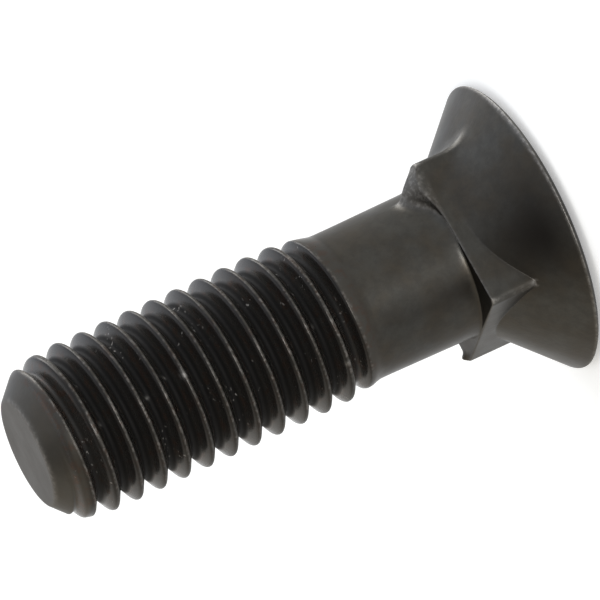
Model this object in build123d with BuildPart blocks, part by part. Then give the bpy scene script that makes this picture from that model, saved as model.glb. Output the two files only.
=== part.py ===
"""Shear bolt, M10 x 1.5, with a countersunk head and a square neck, forged and rolled from one piece.

The bolt stands on the flat face of its head. The origin is the centre of that face, and +Z runs up
the bolt's axis to the tip. The flats of the square neck face along X and Y. Sizes are in millimetres.
"""
from build123d import *
from math import atan, ceil, cos, degrees, radians, sqrt, tan
import os

os.makedirs("parts", exist_ok=True)

# Overall
bolt_length = 32.3

# Thread: M10 coarse, right hand, with crests rolled a little under their full height
thread_nominal = 10.0
thread_pitch = 1.5
flank_angle = 60.0
crest_shortfall = 0.16

# Threaded length from the tip, and how the first crests and the groove fade in on the shank side
thread_length = 20.6
crest_fade_length = 2.8
runout_lead = 0.88
runout_turns = 0.5

# Tip: a 45 degree chamfer round the end face, then crests that grow to their full height
tip_chamfer = 1.22
tip_crest_drop = 0.97
tip_crest_length = 2.0

# Plain shank: the blank that the thread is rolled on, a little under the pitch diameter
shank_undersize = 0.04

# Head: a countersink under a flat face, with a shallow bevel from the face out to the rim
head_diameter = 17.55
bevel_width = 1.43
rim_height = 0.57
seat_angle = 90.0

# Square neck, a narrow ledge wider than the shank, with corners rounded by the forging die
neck_top = 5.71
neck_ledge = 0.25
neck_corner_radius = 0.43

# One neck corner is not square on top: a web of steel slopes from it up to the shank
web_corner_angle = -45.0
web_shank_rise = 1.4
web_shoulder_rise = 1.2
web_corner_width = 1.25
web_front_width = 1.4
web_rear_width = 0.8
web_side_angle = 30.0

# Cutting shapes reach this far past the steel, and the first whole turn overlaps the run-out
cutter_clearance = 0.08
runout_overlap = 0.01

# Thread sizes of the ISO metric profile. The groove is as wide as the ridge on the pitch radius, and
# its flanks run on until they meet, so its root is sharp
flank_slope = tan(radians(flank_angle / 2))
pitch_radius = (thread_nominal - 3 * sqrt(3) / 8 * thread_pitch) / 2
root_radius = pitch_radius - thread_pitch / 4 / flank_slope
crest_radius = (thread_nominal - crest_shortfall) / 2
groove_depth = crest_radius + cutter_clearance - root_radius
groove_mouth = groove_depth * flank_slope

# Heights and radii that follow from the sizes above
shank_radius = pitch_radius - shank_undersize / 2
head_radius = head_diameter / 2
seat_end = rim_height + (head_radius - shank_radius) / tan(radians(seat_angle / 2))
neck_across_flats = 2 * (shank_radius + neck_ledge)
neck_reach = neck_across_flats / sqrt(2) - neck_corner_radius * (sqrt(2) - 1)
thread_start = bolt_length - thread_length
crest_full = thread_start + crest_fade_length
tip_crest_radius = crest_radius - tip_crest_drop / 2
chamfer_start = bolt_length - tip_chamfer
taper_start = chamfer_start - tip_crest_length
runout_start = thread_start + runout_lead
runout_height = runout_turns * thread_pitch
runout_rise = shank_radius + cutter_clearance - root_radius
runout_slope = atan(runout_rise / runout_height)
first_turn = runout_turns - runout_overlap
first_turn_start = runout_start + first_turn * thread_pitch
groove_turns = ceil((bolt_length - first_turn_start) / thread_pitch) + 1


def groove_corners(radius):
    """Corners of the groove's V section, as radius and height, with its root at the radius given."""
    return [(radius, 0), (radius + groove_depth, groove_mouth), (radius + groove_depth, -groove_mouth)]


# Shape of one whole turn of the groove
with BuildPart() as groove_turn:
    with BuildLine() as turn_path:
        Helix(pitch=thread_pitch, height=thread_pitch, radius=root_radius)
    with BuildSketch(Plane.XZ) as turn_section:
        with BuildLine():
            Polyline(*groove_corners(root_radius), close=True)
        make_face()
    sweep(path=turn_path.line, is_frenet=True)

# Shape of the run-out, where the groove climbs out of the steel over part of a turn
with BuildPart() as groove_runout:
    with BuildLine() as runout_path:
        Helix(
            pitch=thread_pitch / cos(runout_slope),
            height=runout_height,
            radius=root_radius + runout_rise,
            cone_angle=-degrees(runout_slope),
        )
    with BuildSketch(Plane.XZ) as runout_section:
        with BuildLine():
            Polyline(*groove_corners(root_radius + runout_rise), close=True)
        make_face()
    sweep(path=runout_path.line, is_frenet=True)

with BuildPart() as shear_bolt:
    # Web at one neck corner: a ridge that slopes up to the shank, with its sides falling to the shoulder
    with BuildSketch(Plane.XZ.rotated((0, 0, web_corner_angle))) as web_ridge:
        with BuildLine():
            Polyline(
                (0, rim_height),
                (neck_reach, rim_height),
                (neck_reach, neck_top),
                (neck_reach - web_corner_width, neck_top + web_shoulder_rise),
                (shank_radius, neck_top + web_shank_rise),
                (0, neck_top + web_shank_rise),
                close=True,
            )
        make_face()
    extrude(amount=web_front_width, taper=web_side_angle)
    extrude(web_ridge.sketch, amount=-web_rear_width, taper=web_side_angle)

    # Square neck: it trims the web to its own outline, then fills up to the shoulder
    with BuildSketch() as neck_outline:
        RectangleRounded(neck_across_flats, neck_across_flats, neck_corner_radius)
    extrude(amount=neck_top + web_shank_rise, mode=Mode.INTERSECT)
    extrude(neck_outline.sketch, amount=neck_top)

    # Head, shank, crests of the thread and tip are one round form
    with BuildSketch(Plane.XZ) as blank_half:
        with BuildLine():
            Polyline(
                (0, 0),
                (head_radius - bevel_width, 0),
                (head_radius, rim_height),
                (shank_radius, seat_end),
                (shank_radius, thread_start),
                (crest_radius, crest_full),
                (crest_radius, taper_start),
                (tip_crest_radius, chamfer_start),
                (tip_crest_radius - tip_chamfer, bolt_length),
                (0, bolt_length),
                close=True,
            )
        make_face()
    revolve(axis=Axis.Z)

    # Thread groove: its run-out, then turn above turn until it leaves the tip
    with Locations((0, 0, runout_start)):
        add(groove_runout.part, mode=Mode.SUBTRACT)
    for turn in range(groove_turns):
        turn_start = first_turn_start + turn * thread_pitch
        with Locations(Location((0, 0, turn_start), (0, 0, 360 * first_turn))):
            add(groove_turn.part, mode=Mode.SUBTRACT)

shear_bolt.part.label = "shear_bolt"
export_step(shear_bolt.part, "parts/shear_bolt.step")
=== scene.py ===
"""Shear bolt, M10 x 1.5: a blackened bolt with a countersunk head, a square neck and a rolled thread.

The bolt is one piece of steel, so it is one mesh, built from its head's flat face up to its tip. The
sizes in the sections below are in millimetres, and the mesh is turned to metres as it is made.
"""

import bpy
import numpy as np
from mathutils import Matrix, Vector


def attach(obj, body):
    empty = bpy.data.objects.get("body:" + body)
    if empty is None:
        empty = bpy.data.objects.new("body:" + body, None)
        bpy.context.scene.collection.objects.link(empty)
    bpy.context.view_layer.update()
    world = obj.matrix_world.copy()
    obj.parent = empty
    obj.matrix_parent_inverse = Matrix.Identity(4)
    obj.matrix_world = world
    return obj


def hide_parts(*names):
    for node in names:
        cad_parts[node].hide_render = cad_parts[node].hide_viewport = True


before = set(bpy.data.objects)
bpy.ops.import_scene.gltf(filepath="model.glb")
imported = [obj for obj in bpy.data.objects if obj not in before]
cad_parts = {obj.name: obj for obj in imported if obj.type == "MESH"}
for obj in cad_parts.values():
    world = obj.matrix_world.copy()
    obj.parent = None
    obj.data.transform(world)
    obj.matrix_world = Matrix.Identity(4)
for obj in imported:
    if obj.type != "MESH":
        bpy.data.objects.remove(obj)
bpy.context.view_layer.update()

# Camera: a long lens that looks a little down on the bolt from its plain side, rolled so that the
# thread points left and down. It looks past a place on the bolt's axis just above the run-out.
mm = 0.001
azimuth, elevation, roll = np.radians([-16.1, 15.7, 114.55])
aim_height = 14.21
aim_right, aim_up = -0.604, 1.327
distance = 423.6
level_back = np.array([np.sin(azimuth), -np.cos(azimuth), 0.0])
level_right = np.array([np.cos(azimuth), np.sin(azimuth), 0.0])
back = level_back * np.cos(elevation) + np.array([0.0, 0.0, np.sin(elevation)])
level_up = np.cross(back, level_right)
right = level_right * np.cos(roll) - level_up * np.sin(roll)
up = level_right * np.sin(roll) + level_up * np.cos(roll)
aim = np.array([0.0, 0.0, aim_height]) + aim_right * right + aim_up * up
camera_data = bpy.data.cameras.new("camera")
camera_data.lens = 450.0
camera_data.sensor_width = 36.0
camera = bpy.data.objects.new("camera", camera_data)
camera_rows = [[*row] for row in zip(right, up, back, (aim + distance * back) * mm)]
camera.matrix_world = Matrix(camera_rows + [[0, 0, 0, 1]])
bpy.context.scene.collection.objects.link(camera)
bpy.context.scene.camera = camera
bpy.context.scene.view_settings.view_transform = "Standard"


# Head and square neck: hot forged from the bar in a closed die, with a 90 degree seat under a flat
# face. The die leaves soft edges, and one corner of the neck keeps a web of steel up to the shank.
def near(value, middle, width):
    """A smooth bump, 1 where value is at the middle and falling to 0 as a bell of the width given."""
    return np.exp(-(((value - middle) / width) ** 2))


def eased(distance, width):
    """A smooth step, 0 up to a distance of 0, and 1 from a distance of the width given onwards."""
    step = np.clip(distance / width, 0, 1)
    return step**2 * (3 - 2 * step)


def turned_by(angle, middle):
    """The angle measured from the middle given, between minus and plus half a turn."""
    return (angle - middle + np.pi) % (2 * np.pi) - np.pi


# The mesh has a column of points at each of these angles. They draw together at the neck's corners.
columns = 240
corner_draw = 0.13
even = np.arange(columns) * 2 * np.pi / columns
angles = even + corner_draw * np.sin(4 * even)

head_radius = 8.775
crown_start = 8.15
rim_height = 0.57
seat_slope = np.tan(np.radians(44.3))
shank_radius = 4.487
shank_swell = 0.073
shoulder = 5.71
half_flats = 4.743
corner_radius = 0.43
web_bearing = -np.pi / 4
web_rise, web_fall, web_bend = 1.45, 0.25, 0.235
web_front, web_rear = 1.35, 0.5
burr_bearing = 3 * np.pi / 4
burr_rise, burr_aside, burr_out = 0.26, -0.25, 6.38
burr_width, burr_depth = 0.22, 0.24


def neck_reach(angle):
    """Distance from the axis to the outline of a square with rounded corners, in each direction.

    The direction is folded into one quarter. It meets one of two flats, or else the corner's arc,
    where the reach is the far root of the arc's circle along that direction.
    """
    c, s = np.abs(np.cos(angle)), np.abs(np.sin(angle))
    centre = half_flats - corner_radius
    along = centre * (c + s)
    arc = along + np.sqrt(np.maximum(along**2 - 2 * centre**2 + corner_radius**2, 0))
    flat = half_flats / np.maximum(c, s)
    return np.where(np.minimum(c, s) / np.maximum(c, s) > centre / half_flats, arc, flat)


def shoulder_height(angle, radius):
    """Height of the shoulder over the angle and radius: level, but for the web and the burr.

    The web is a ridge along its corner that falls ever more steeply outwards, with a rounded back
    across it. The burr is a small bell on the outer edge of the opposite corner, to one side of it.
    """
    off = turned_by(angle, web_bearing)
    out = np.maximum(radius * np.cos(off) - shank_radius, 0)
    across = radius * np.sin(off)
    ridge = np.maximum(web_rise - web_fall * out - web_bend * out**2, 0)
    web = ridge * (near(across, 0, np.where(across < 0, web_front, web_rear)) * (np.cos(off) > 0))
    burr_off = turned_by(angle, burr_bearing)
    burr = burr_rise * near(radius * np.sin(burr_off), burr_aside, burr_width)
    burr = burr * near(radius, burr_out, burr_depth) * (np.cos(burr_off) > 0)
    return shoulder + web + burr


def rounded_profile(corners, counts):
    """Rows of points along straight runs between corners, with each corner cut by a smooth arc.

    corners is a list of (radius, height, reach before, reach after), each one number or one per
    angle. The arc is a quadratic curve whose handle is the corner. counts gives the rows on each
    run and on each arc in turn. The result is two arrays, rows by angles, of radius and height.
    """
    spread = [np.broadcast_arrays(*corner, angles)[:4] for corner in corners]
    points = [np.stack(c[:2]) for c in spread]
    rows = []
    start = points[0]
    for number in range(1, len(points)):
        before, after = points[number - 1], points[number]
        reach_in, reach_out = spread[number][2:]
        arrive = after - before
        arrive = arrive / np.maximum(np.hypot(*arrive), 1e-9)
        end = after - arrive * reach_in
        run, arc = counts[number - 1]
        for t in np.linspace(0, 1, run, endpoint=False):
            rows.append(start + (end - start) * t)
        start = end
        if number + 1 < len(points):
            leave = points[number + 1] - after
            leave = leave / np.maximum(np.hypot(*leave), 1e-9)
            finish = after + leave * reach_out
            for t in np.linspace(0, 1, arc, endpoint=False):
                rows.append(end * (1 - t) ** 2 + 2 * after * t * (1 - t) + finish * t**2)
            start = finish
    rows.append(start)
    table = np.array(rows)
    return table[:, 0], table[:, 1]


# From the middle of the face: its crowned edge, the rim, a row on the seat close beside the rim, the
# crease under the neck, the neck's upper edge, and the foot of the shank. The crease is worn round
# below the web's corner, and the web runs out softly on the shank.
reach = neck_reach(angles)
crease = rim_height + (head_radius - reach) / seat_slope
top = shoulder_height(angles, reach)
shank_foot = shank_radius + shank_swell
base = shoulder_height(angles, np.full_like(angles, shank_foot))
thread_foot = 11.08
beside_rim = 0.3
web_side = near(turned_by(angles, web_bearing), 0, 0.5)
softened = eased(np.radians(56.7) - np.abs(turned_by(angles, np.radians(318))), np.radians(42))
low_counts = [(9, 9), (3, 4), (2, 2), (12, 6), (6, 6), (9, 6), (14, 0)]
low_radius, low_height = rounded_profile(
    [
        (0.0, 0.0, 0, 0),
        (crown_start, 0.0, 1.95, 0.7),
        (head_radius, rim_height, 0.06, 0.08),
        (head_radius - beside_rim, rim_height + beside_rim / seat_slope, 0.12, 0.03),
        (reach, crease, 0.07 + 1.2 * softened, 0.07 + 1.0 * softened),
        (reach, top, 0.12, 0.10),
        (shank_foot, base, 0.12 + 0.4 * web_side, 0.7 + 0.1 * web_side),
        (shank_radius, thread_foot, 0, 0),
    ],
    low_counts,
)

# The rows from the neck's upper edge to the foot of the shank are lifted onto the web and the burr.
edge_row = sum(run + arc for run, arc in low_counts[:4]) + low_counts[4][0]
on_shoulder = slice(edge_row, edge_row + low_counts[4][1] + sum(low_counts[5]))
inward = low_radius[on_shoulder]
straight = top + (base - top) * np.clip((reach - inward) / (reach - shank_foot), 0, 1)
low_height[on_shoulder] += shoulder_height(angles, inward) - straight

# Shank and thread: the plain shank is the blank itself, and the M10 x 1.5 thread is rolled into it
# between dies, which press a rounded groove and raise rounded crests. The groove climbs out over the
# last half turn, and the first crests beside the shank are not quite full.
pitch = 1.5
groove_start = 12.61
sharp_root = 3.83
root_round = 0.21
flank_steepness = np.sqrt(3)
run_out_turns = 0.5
run_out_lift = 0.62
crest_edge = 0.16
rise_start = 12.58
rise_lead = 0.85
rise_turns = 0.9
bolt_length = 32.3
crest_heights = [11.0, 11.83, 12.51, 13.26, 14.01, 14.76, 15.6, 28.8, 29.8, 30.7, 31.2, 40.0]
crest_radii = [4.487, 4.49, 4.677, 4.71, 4.90, 4.92, 4.955, 4.955, 4.83, 4.65, 4.43, 4.42]


def smaller(a, b, blend):
    """The smaller of a and b, with the corner between them rounded over the width given."""
    return np.minimum(a, b) - np.maximum(blend - np.abs(a - b), 0) ** 2 / (4 * blend)


def blank_radius(angle, height):
    """Radius of the crests: they rise out of the shank beside the groove, and sink again to the tip.

    The height alone sets how full a crest is, from the list of radii smoothed by a bell. Over the
    first turn the rise from the shank follows the helix, less than a pitch under the groove, and it
    fades in over the groove's own run-out.
    """
    fine = np.linspace(10.0, 33.0, 921)
    bell = near(np.arange(-12, 13) * 0.025, 0, 0.16)
    listed = np.pad(np.interp(fine, crest_heights, crest_radii), 12, mode="edge")
    soft = np.convolve(listed, bell / bell.sum(), mode="valid")
    turn = angle / (2 * np.pi)
    below = (height - rise_start) / pitch - turn + rise_lead
    first = np.clip(turn / run_out_turns, 0, 1) * eased(below + 0.5, rise_turns)
    risen = np.maximum(first, eased(below - 0.5, rise_turns))
    return shank_radius + (np.interp(height, fine, soft) - shank_radius) * risen


def thread_radius(angle, height):
    """Radius of the threaded part: the smaller of the crests' radius and the groove's.

    The groove is a V of 60 degrees about a helix, with an arc at its root. It is lifted out of the
    steel by a ramp over its first half turn, and the edge between it and the crest is rounded.
    """
    turns = (height - groove_start) / pitch - angle / (2 * np.pi)
    middle = np.round(turns)
    along = middle + angle / (2 * np.pi)
    off = np.abs(turns - middle) * pitch
    lift = np.maximum(1 - along / run_out_turns, 0) * run_out_lift
    wall = sharp_root + off * flank_steepness
    arc = sharp_root + 2 * root_round - np.sqrt(np.maximum(root_round**2 - off**2, 0))
    groove = np.where(off < root_round * np.sqrt(0.75), arc, wall) + lift
    return smaller(groove, blank_radius(angle, height), crest_edge)


# Rows follow the helix, at the same places in every turn: close together at the root and the crest.
# One turn round, a row joins the row one pitch higher. Rows below the foot or above the neck of the
# tip are pressed level, and become part of the level ring there.
half_rung = np.array([0, 0.045, 0.09, 0.13, 0.20, 0.27, 0.34, 0.39, 0.43, 0.47])
rungs = np.concatenate([half_rung, [0.5], 1 - half_rung[:0:-1]])
thread_top = 30.6
turns_made = int(np.ceil((thread_top - thread_foot) / pitch)) + 1
row_turn = (np.arange(turns_made)[:, None] + rungs[None, :]).ravel()
helix_height = thread_foot + pitch * (row_turn[:, None] - 1 + angles[None, :] / (2 * np.pi))
helix_height = np.clip(helix_height, thread_foot, thread_top)
helix_radius = thread_radius(angles[None, :], helix_height)

# Tip: the blank's end was chamfered before rolling, so the thread fades in over it. Its end face is
# the sheared end of the bar, flat and rough, with a soft edge.
end_radius = 3.23
chamfer_slope = 1.035
chamfer_blend = 0.08
edge_fall = 0.16 / np.sqrt(2)
face_edge = end_radius - 0.2
flat_ring = np.zeros((1, columns))
tip_height = np.linspace(thread_top, bolt_length - edge_fall, 42)[1:, None] + flat_ring
chamfer = end_radius + (bolt_length - tip_height) * chamfer_slope
tip_radius = smaller(thread_radius(angles[None, :], tip_height), chamfer, chamfer_blend)
edge_turn = np.linspace(0, 1, 7)[1:, None] + flat_ring
edge_start = end_radius + edge_fall * chamfer_slope
corner_pull = 2 * edge_turn * (1 - edge_turn)
edge_radius = edge_start * (1 - edge_turn) ** 2 + end_radius * corner_pull + face_edge * edge_turn**2
edge_height = bolt_length - edge_fall * (1 - edge_turn) ** 2
face_radius = np.linspace(face_edge, 0, 8)[1:-1, None] + flat_ring
face_height = bolt_length + 0 * face_radius


# The whole bolt as one mesh. Level rows are joined ring to ring, and the helical rows one turn on.
def ring_faces(first, last):
    """Four-cornered faces between neighbouring level rows, from the first row to the last."""
    row, column = np.meshgrid(np.arange(first, last), np.arange(columns), indexing="ij")
    beside = (column + 1) % columns
    below, above = row * columns, (row + 1) * columns
    return np.stack([below + column, below + beside, above + beside, above + column], -1).reshape(-1, 4)


def in_halves(faces):
    """Each four-cornered face as two triangles, without those that have shrunk to a line."""
    halves = np.concatenate([faces[:, [0, 1, 2]], faces[:, [0, 2, 3]]])
    a, b, c = halves.T
    return halves[(a != b) & (b != c) & (c != a)]


low_radius, low_height = low_radius[1:], low_height[1:]
ring_radius = thread_radius(angles, np.full_like(angles, thread_top))[None, :]
ring_height = thread_top + flat_ring
level_radius = np.concatenate([low_radius, ring_radius, tip_radius, edge_radius, face_radius])
level_height = np.concatenate([low_height, ring_height, tip_height, edge_height, face_height])
foot_row, neck_row, last_row = len(low_radius) - 1, len(low_radius), len(level_radius) - 1
level_radius[foot_row] = thread_radius(angles, np.full_like(angles, thread_foot))

this_column = np.arange(columns)
next_column = (this_column + 1) % columns
at_foot = helix_height <= thread_foot + 1e-6
at_neck = helix_height >= thread_top - 1e-6
helix_number = level_radius.size + np.arange(helix_radius.size).reshape(helix_radius.shape)
helix_number = np.where(at_foot, foot_row * columns + this_column, helix_number)
helix_number = np.where(at_neck, neck_row * columns + this_column, helix_number)
next_turn = np.full((len(helix_number), 1), neck_row * columns)
next_turn[:-len(rungs)] = helix_number[len(rungs):, :1]
strip = np.concatenate([helix_number, next_turn], axis=1)
helix_faces = np.stack([strip[:-1, :-1], strip[:-1, 1:], strip[1:, 1:], strip[1:, :-1]], -1)

all_radius = np.concatenate([level_radius, helix_radius]).ravel()
all_height = np.concatenate([level_height, helix_height]).ravel()
all_angle = np.tile(angles, len(level_radius) + len(helix_radius))
places = np.stack([all_radius * np.cos(all_angle), all_radius * np.sin(all_angle), all_height], -1)
low_pole, high_pole = len(places), len(places) + 1
places = np.concatenate([places, [[0, 0, 0], [0, 0, bolt_length]]])

last_ring = last_row * columns
triangles = np.concatenate([
    in_halves(ring_faces(0, foot_row)),
    in_halves(ring_faces(neck_row, last_row)),
    in_halves(helix_faces.reshape(-1, 4)),
    np.stack([np.full(columns, low_pole), next_column, this_column], -1),
    np.stack([last_ring + this_column, last_ring + next_column, np.full(columns, high_pole)], -1),
])
used, triangles = np.unique(triangles, return_inverse=True)
triangles = triangles.reshape(-1, 3)
places = places[used]

# Finish of the thread, and painted shade, as amounts from 0 to 1 that the mesh carries to the material.
# The flanks darken sooner on the tip's side of a crest, and the root gets painted shade. A thin line
# is rubbed along each crest, with painted shade in its lee, and on the wide crests at both ends it
# lies on the edge nearer mid-thread.
radius = np.hypot(places[:, 0], places[:, 1])
angle = np.arctan2(places[:, 1], places[:, 0]) % (2 * np.pi)
height = places[:, 2]
thread_end = bolt_length - 0.85
lee_shade_end = 30.9
mid_thread = 20
threaded = eased(height - 12.0, 0.6) * eased(thread_end - height, 0.3)
full_radius = blank_radius(angle, height)
depth = np.clip(full_radius - radius, 0, 1)
turns = (height - groove_start) / pitch - angle / (2 * np.pi)
past_crest = ((turns + 1) % 1 - 0.5) * pitch
flank = np.where(past_crest > 0, eased(past_crest - 0.02, 0.18), eased(-past_crest - 0.08, 0.35))
flank = threaded * (0.5 + 0.5 * flank * eased(depth, 0.1))
# Painted shade in the root of the thread.
root = eased(depth - 0.5, 0.3) * threaded
land_radius = np.minimum(full_radius, end_radius + (bolt_length - height) * chamfer_slope)
half_land = 0.5 * pitch - (land_radius - sharp_root) / flank_steepness
line_place = np.where(height < mid_thread, 1, -1) * np.maximum(half_land - 0.115, 0)
beyond = past_crest - line_place
crest = 1 - eased(np.abs(past_crest + 0.05 - line_place), 0.15)
crest *= threaded * np.maximum(eased(full_radius - shank_radius - 0.1, 0.2), height > mid_thread)
# Painted shade in the lee of each crest.
lee_shade = eased(beyond + 0.04, 0.1) * (1 - eased(beyond - 0.25, 0.2)) * threaded
lee_shade = lee_shade * eased(lee_shade_end - height, 0.4)

# Wear through to bright steel: along the rim, most of all on one side, lightly along the neck's corners,
# along its shoulder and round the end face, with painted highlights at both ends of the neck's corners
# and painted light on the face of the web. Nine nicks lie on the thread, each given by its bearing in
# degrees, its height and its size.
inside_neck = neck_reach(angle) - radius
crease_height = rim_height + (head_radius - neck_reach(angle)) / seat_slope
rim_side = turned_by(angle, np.radians(297))
from_rim = np.hypot(radius - head_radius, height - rim_height)
rim_line = near(from_rim, 0, 0.10 + 0.08 * near(rim_side, 0, 0.35))
rim_share = 0.6 + 0.4 * near(rim_side, 0, 0.6)
corner_line = near(inside_neck, 0, 0.08) * near(radius, neck_reach(np.pi / 4), 0.03)
# Painted highlights at both ends of each corner of the neck.
corner_end_highlights = np.maximum(near(height, shoulder - 0.1, 0.2), near(height, crease_height + 0.05, 0.15))
shoulder_line = near(height, shoulder, 0.09) * near(radius, neck_reach(angle), 0.09)
end_line = near(np.hypot(radius - end_radius, height - bolt_length), 0, 0.2)
# Painted light on the face of the web.
web_face_light = eased(height - shoulder - 0.05, 0.2) * (height < 8)
web_face_light = web_face_light * eased(radius - shank_foot - 0.04, 0.15)
web_face_light = web_face_light * near(turned_by(angle, web_bearing), 0, 0.6)
rubbed_and_lit = [
    rim_share * rim_line,
    (0.15 + 0.55 * corner_end_highlights) * corner_line,
    0.25 * shoulder_line,
    0.4 * end_line,
    0.38 * web_face_light,
]
for bearing, nick_height, nick_size in (
    (258.3, 23.44, 0.20), (263.0, 24.40, 0.09), (217.5, 14.26, 0.15),
    (251.5, 15.40, 0.10), (251.0, 28.85, 0.09), (254.5, 25.75, 0.10),
    (40.0, 20.6, 0.16), (118.0, 26.9, 0.12), (150.0, 17.3, 0.18),
):
    around = turned_by(angle, np.radians(bearing)) * radius
    rubbed_and_lit.append(0.9 * near(np.hypot(around, height - nick_height), 0, nick_size))
rubbed_and_lit = np.maximum.reduce(rubbed_and_lit)

# Painted shade: a dark patch on one side of the seat, in the crease above it, and in a band along the
# shank. The tip was machined after the forging, so it is cleaner, most of all its end.
patch_side = turned_by(angle, np.radians(248))
on_seat = eased(-inside_neck, 0.2) * (height < crease_height.max() + 0.2)
seat_shade = near(patch_side, 0, np.where(patch_side > 0, 0.42, 0.30))
seat_shade = seat_shade * near(radius, 7.5, np.where(radius < 7.5, 2.0, 1.0)) * on_seat
crease_shade = near(np.hypot(inside_neck, height - crease_height), 0, 0.13)
crease_shade *= eased(np.radians(268) - angle, 0.3) * (angle > np.radians(220))
on_shank = eased(height - 5.8, 0.3) * eased(12.2 - height, 1.0)
shank_shade = near(turned_by(angle, np.radians(229)), 0, 0.2) * on_shank
shank_shade = shank_shade * (0.35 + 0.25 * eased(9 - height, 2))
painted_shade_patch = np.maximum.reduce([seat_shade, 0.35 * crease_shade, shank_shade])
end_face = eased(end_radius + 0.05 - radius, 0.15) * (height > 32)
cut_tip = 0.45 * eased(height - 31.0, 0.3) + 0.55 * end_face

mesh = bpy.data.meshes.new("bolt")
mesh.from_pydata((places * mm).tolist(), [], triangles.tolist())
for name, amount in (
    ("flank", flank),
    ("root", root),
    ("crest", crest),
    ("lee_shade", lee_shade),
    ("rubbed_and_lit", rubbed_and_lit),
    ("painted_shade_patch", painted_shade_patch),
    ("cut_tip", cut_tip),
):
    mesh.attributes.new(name, "FLOAT", "POINT").data.foreach_set("value", amount)
mesh.polygons.foreach_set("use_smooth", np.ones(len(triangles), bool))
mesh.update()
bolt = bpy.data.objects.new("bolt", mesh)
bpy.context.scene.collection.objects.link(bolt)
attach(bolt, "root")
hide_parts("shear_bolt")


# Blackened steel: medium carbon steel, forged and rolled, then quenched and oiled. Its thin oxide is
# dark and satin, mottled over a few millimetres. The rolled flanks are smoother and darker, with soot
# and brown stains, and it is rubbed through to bright steel on the rim, the corners and the crests.
# Painted shade darkens the roots of the thread, the lee of each crest and a patch on the seat and
# shank, and painted light brightens the face of the web and the ends of the neck's corners.
def linear(code):
    """An sRGB hex colour as linear red, green, blue and an alpha of 1."""
    parts = np.array([int(code[i:i + 2], 16) for i in (1, 3, 5)]) / 255
    light = np.where(parts <= 0.04045, parts / 12.92, ((parts + 0.055) / 1.055) ** 2.4)
    return [*light, 1.0]


def add(tree, kind, settings=None, **inputs):
    """Adds a node with its settings, fills its sockets with values or links, and gives its output.

    A socket is named by its name, or by an underscore and its number. The output given back is the
    first one in use, or the one that the settings name as "output".
    """
    node = tree.nodes.new(kind)
    settings = dict(settings or {})
    wanted = settings.pop("output", None)
    for name, value in settings.items():
        setattr(node, name, value)
    for name, value in inputs.items():
        socket = node.inputs[int(name[1:]) if name[0] == "_" else name.replace("_", " ")]
        if isinstance(value, bpy.types.NodeSocket):
            tree.links.new(value, socket)
        else:
            socket.default_value = value
    if wanted:
        return node.outputs[wanted]
    return next((output for output in node.outputs if output.enabled), None)


# The real grain is some microns across and the specks are under 0.1 mm. Both are too fine to show,
# so they are drawn at about a quarter of a millimetre.
mottle_size, cloud_size, grain_size, speck_size = 2.2 * mm, 0.7 * mm, 0.28 * mm, 0.24 * mm
steel = bpy.data.materials.new("blackened_forged_steel")
steel.use_nodes = True
tree = steel.node_tree
tree.nodes.clear()
rgb = {"data_type": "RGBA"}
smooth = {"interpolation_type": "SMOOTHSTEP"}
times = {"operation": "MULTIPLY"}
larger = {"operation": "MAXIMUM"}
times_plus = {"operation": "MULTIPLY_ADD"}
here = add(tree, "ShaderNodeTexCoord", {"output": "Object"})
mottle = add(tree, "ShaderNodeTexNoise", Vector=here, Scale=1 / mottle_size, Detail=3.0, Roughness=0.55)
cloud = add(tree, "ShaderNodeTexNoise", Vector=here, Scale=1 / cloud_size, Detail=4.0, Roughness=0.7)
grain = add(tree, "ShaderNodeTexNoise", Vector=here, Scale=1 / grain_size, Detail=4.0, Roughness=0.6)
flecks = add(tree, "ShaderNodeTexNoise", Vector=here, Scale=1 / speck_size, Detail=2.0, Roughness=0.6)
specks = add(tree, "ShaderNodeTexNoise", Vector=here, Scale=1 / speck_size, Detail=1.0, Roughness=0.5)
on_flank = add(tree, "ShaderNodeAttribute", {"attribute_name": "flank", "output": "Fac"})
on_root = add(tree, "ShaderNodeAttribute", {"attribute_name": "root", "output": "Fac"})
on_crest = add(tree, "ShaderNodeAttribute", {"attribute_name": "crest", "output": "Fac"})
in_lee_shade = add(tree, "ShaderNodeAttribute", {"attribute_name": "lee_shade", "output": "Fac"})
on_wear_and_light = add(tree, "ShaderNodeAttribute", {"attribute_name": "rubbed_and_lit", "output": "Fac"})
on_shade_patch = add(tree, "ShaderNodeAttribute", {"attribute_name": "painted_shade_patch", "output": "Fac"})
on_tip = add(tree, "ShaderNodeAttribute", {"attribute_name": "cut_tip", "output": "Fac"})

# The oxide: grey and slightly brown by turns, darker in clouds and in the painted shade on the seat,
# the crease and the shank, and lighter on the clean tip.
brown = add(tree, "ShaderNodeMapRange", smooth, Value=mottle, From_Min=0.3, From_Max=0.7)
colour = add(tree, "ShaderNodeMix", rgb, _0=brown, _6=linear("#3f3e3b"), _7=linear("#3c3832"))
dark = add(tree, "ShaderNodeMapRange", smooth, Value=cloud, From_Min=0.35, From_Max=0.65, To_Max=0.4)
colour = add(tree, "ShaderNodeMix", rgb, _0=dark, _6=colour, _7=linear("#302f2d"))
# Painted shade: the dark patch on the seat, in the crease and along the shank.
colour = add(tree, "ShaderNodeMix", rgb, _0=on_shade_patch, _6=colour, _7=linear("#242220"))
colour = add(tree, "ShaderNodeMix", rgb, _0=on_tip, _6=colour, _7=linear("#484540"))

# The thread: sooty flanks with brown stains, and painted shade, almost black in the root and dark in
# the lee of a crest.
stain = add(tree, "ShaderNodeMapRange", smooth, Value=cloud, From_Min=0.48, From_Max=0.62)
soot = add(tree, "ShaderNodeMix", rgb, _0=stain, _6=linear("#403e3b"), _7=linear("#463a33"))
colour = add(tree, "ShaderNodeMix", rgb, _0=on_flank, _6=colour, _7=soot)
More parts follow.
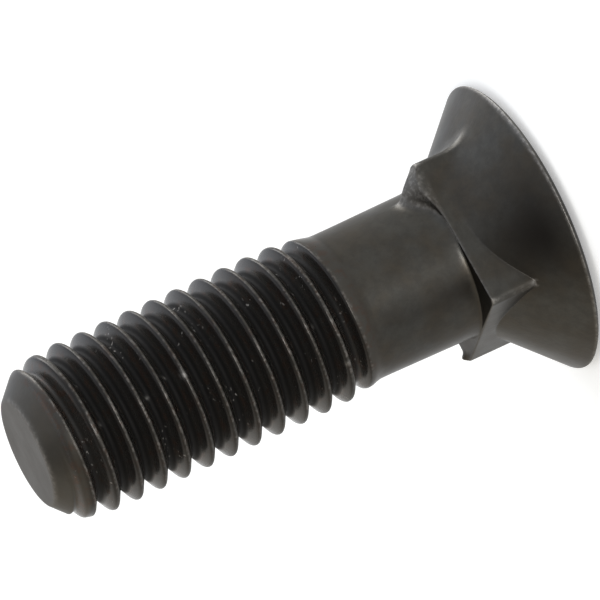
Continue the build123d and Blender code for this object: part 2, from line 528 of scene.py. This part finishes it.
# Painted shade: the root is coloured almost black.
colour = add(tree, "ShaderNodeMix", rgb, _0=on_root, _6=colour, _7=linear("#141312"))
shaded = add(tree, "ShaderNodeMath", times, _0=in_lee_shade, _1=0.8)
colour = add(tree, "ShaderNodeMix", rgb, _0=shaded, _6=colour, _7=linear("#201f1e"))

# Bare steel: a thin broken line on the crests, worn edges, and a few clumps of specks on the flanks,
# with the painted light on the web's face and the painted highlights at the neck's corners.
clump = add(tree, "ShaderNodeMapRange", smooth, Value=flecks, From_Min=0.44, From_Max=0.62)
spread = add(tree, "ShaderNodeMapRange", smooth,
             Value=cloud, From_Min=0.40, From_Max=0.60, To_Min=0.1, To_Max=0.42)
broken = add(tree, "ShaderNodeMath", times, _0=clump, _1=spread)
crest_line = add(tree, "ShaderNodeMath", times, _0=broken, _1=on_crest)
worn_and_lit = add(tree, "ShaderNodeMapRange", Value=clump, To_Min=0.45)
worn_and_lit = add(tree, "ShaderNodeMath", times, _0=worn_and_lit, _1=on_wear_and_light)
speck = add(tree, "ShaderNodeMapRange", smooth, Value=specks, From_Min=0.66, From_Max=0.74)
few = add(tree, "ShaderNodeMapRange", smooth, Value=mottle, From_Min=0.57, From_Max=0.65)
speck = add(tree, "ShaderNodeMath", times, _0=speck, _1=few)
sooty = add(tree, "ShaderNodeMapRange", smooth, Value=on_flank, From_Min=0.55, From_Max=0.9)
speck = add(tree, "ShaderNodeMath", times, _0=speck, _1=sooty)
bare_and_lit = add(tree, "ShaderNodeMath", larger, _0=crest_line, _1=worn_and_lit)
bare_and_lit = add(tree, "ShaderNodeMath", larger, _0=bare_and_lit, _1=speck)
colour = add(tree, "ShaderNodeMix", rgb, _0=bare_and_lit, _6=colour, _7=linear("#8a8783"))

# Surface: satin oxide over steel, and partly soot on the flanks. The dies left the flanks smooth, so
# they send light on from wall to wall and look dark face on. The grain stands out by a few microns.
rough = add(tree, "ShaderNodeMapRange", Value=mottle, From_Min=0.3, From_Max=0.7, To_Min=0.33, To_Max=0.40)
rough = add(tree, "ShaderNodeMath", times_plus, _0=on_flank, _1=-0.14, _2=rough)
rough = add(tree, "ShaderNodeMath", times_plus, _0=on_root, _1=0.5, _2=rough)
rough = add(tree, "ShaderNodeMath", times_plus, _0=on_crest, _1=0.22, _2=rough)
rough = add(tree, "ShaderNodeMath", times_plus, _0=bare_and_lit, _1=0.25, _2=rough)
metal = add(tree, "ShaderNodeMapRange", Value=on_flank, From_Min=0.5, To_Min=1.0, To_Max=0.75)
relief = add(tree, "ShaderNodeMath", times_plus, _0=mottle, _1=2.0, _2=grain)
bump = add(tree, "ShaderNodeBump", Strength=0.3, Distance=0.02 * mm, Height=relief)
surface = add(tree, "ShaderNodeBsdfPrincipled", Base_Color=colour, Metallic=metal, Roughness=rough,
              Specular_Tint=linear("#e6e6e6"), Normal=bump)
add(tree, "ShaderNodeOutputMaterial", Surface=surface)
mesh.materials.append(steel)

# Floor: a plain matt white sheet, with the light of the room behind it shown as plain white. It
# glows only to the camera, in gloss and through glass, so that it throws no light on the bolt.
floor_mesh = bpy.data.meshes.new("floor")
floor_mesh.from_pydata([(-3, -3, 0), (3, -3, 0), (3, 3, 0), (-3, 3, 0)], [], [(0, 1, 2, 3)])
floor = bpy.data.objects.new("floor", floor_mesh)
bpy.context.scene.collection.objects.link(floor)
paper = bpy.data.materials.new("matt_white_paper")
paper.use_nodes = True
tree = paper.node_tree
tree.nodes.clear()
camera_ray = add(tree, "ShaderNodeLightPath", {"output": "Is Camera Ray"})
path = camera_ray.node
seen = add(tree, "ShaderNodeMath", larger, _0=camera_ray, _1=path.outputs["Is Glossy Ray"])
seen = add(tree, "ShaderNodeMath", larger, _0=seen, _1=path.outputs["Is Transmission Ray"])
glow = add(tree, "ShaderNodeMath", times, _0=seen, _1=0.3)
glow = add(tree, "ShaderNodeEmission", Color=linear("#ffffff"), Strength=glow)
matt = add(tree, "ShaderNodeBsdfDiffuse", Color=linear("#f0f0ee"))
add(tree, "ShaderNodeOutputMaterial", Surface=add(tree, "ShaderNodeAddShader", _0=matt, _1=glow))
floor_mesh.materials.append(paper)

# Light: a white room, brightest at its sides and dimmer overhead and at its far end, warm on the left
# and cool on the right. One low lamp in front draws a soft band along the shank, and a wide one on
# the right lifts that side.
world = bpy.data.worlds.new("white_room")
bpy.context.scene.world = world
world.use_nodes = True
tree = world.node_tree
tree.nodes.clear()
dot = {"operation": "DOT_PRODUCT", "output": "Value"}
ray = add(tree, "ShaderNodeTexCoord", {"output": "Generated"})
upward = add(tree, "ShaderNodeVectorMath", dot, _0=ray, _1=(-0.33, -0.12, 0.936))
away = add(tree, "ShaderNodeVectorMath", dot, _0=ray, _1=-back)
rightward = add(tree, "ShaderNodeVectorMath", dot, _0=ray, _1=level_right)
overhead = add(tree, "ShaderNodeMapRange", smooth,
               Value=upward, From_Min=0.87, From_Max=0.985, To_Min=1.0, To_Max=0.6)
far_end = add(tree, "ShaderNodeMapRange", smooth, Value=away, From_Min=0.5, To_Min=1.0, To_Max=0.68)
both_sides = add(tree, "ShaderNodeMapRange", smooth,
                 Value=away, From_Min=-0.8, From_Max=0.2, To_Min=0.9, To_Max=1.25)
right_side = add(tree, "ShaderNodeMapRange", smooth,
                 Value=rightward, From_Min=-0.5, From_Max=0.9, To_Min=0.95, To_Max=1.36)
shade = add(tree, "ShaderNodeMath", times, _0=overhead, _1=far_end)
shade = add(tree, "ShaderNodeMath", times, _0=shade, _1=both_sides)
shade = add(tree, "ShaderNodeMath", times, _0=shade, _1=right_side)
cool = add(tree, "ShaderNodeMapRange", smooth, Value=rightward, From_Min=-0.8, From_Max=0.8)
tint = add(tree, "ShaderNodeMix", rgb, _0=cool, _6=linear("#fff9ee"), _7=linear("#eef4ff"))

# The room lights the floor a little less than it shines in the steel, and the camera sees it white.
glossy_ray = add(tree, "ShaderNodeLightPath", {"output": "Is Glossy Ray"})
path = glossy_ray.node
shown = add(tree, "ShaderNodeMath", larger, _0=glossy_ray, _1=path.outputs["Is Transmission Ray"])
level = add(tree, "ShaderNodeMapRange", Value=shown, To_Min=0.8, To_Max=1.0)
level = add(tree, "ShaderNodeMath", times, _0=level, _1=shade)
level = add(tree, "ShaderNodeMix", {"data_type": "FLOAT"}, _0=path.outputs["Is Camera Ray"], _2=level, _3=1.0)
add(tree, "ShaderNodeOutputWorld", Surface=add(tree, "ShaderNodeBackground", Color=tint, Strength=level))


def lamp(name, bearing, elevation, width, tall, power):
    """A soft oblong lamp 0.6 m away at the bearing and elevation given in degrees, facing the bolt."""
    data = bpy.data.lights.new(name, "AREA")
    data.shape = "RECTANGLE"
    data.size = width
    data.size_y = tall
    data.energy = power
    thing = bpy.data.objects.new(name, data)
    bearing, elevation = np.radians([bearing, elevation])
    flat = np.cos(elevation)
    toward = Vector((np.cos(bearing) * flat, np.sin(bearing) * flat, np.sin(elevation)))
    thing.location = Vector((0, 0, 0.016)) + toward * 0.6
    thing.rotation_euler = toward.to_track_quat("Z", "Y").to_euler()
    bpy.context.scene.collection.objects.link(thing)


lamp("front_lamp", 246, 10, 0.10, 0.10, 1.65)
lamp("right_lamp", 4, 5, 0.60, 0.24, 3.3)
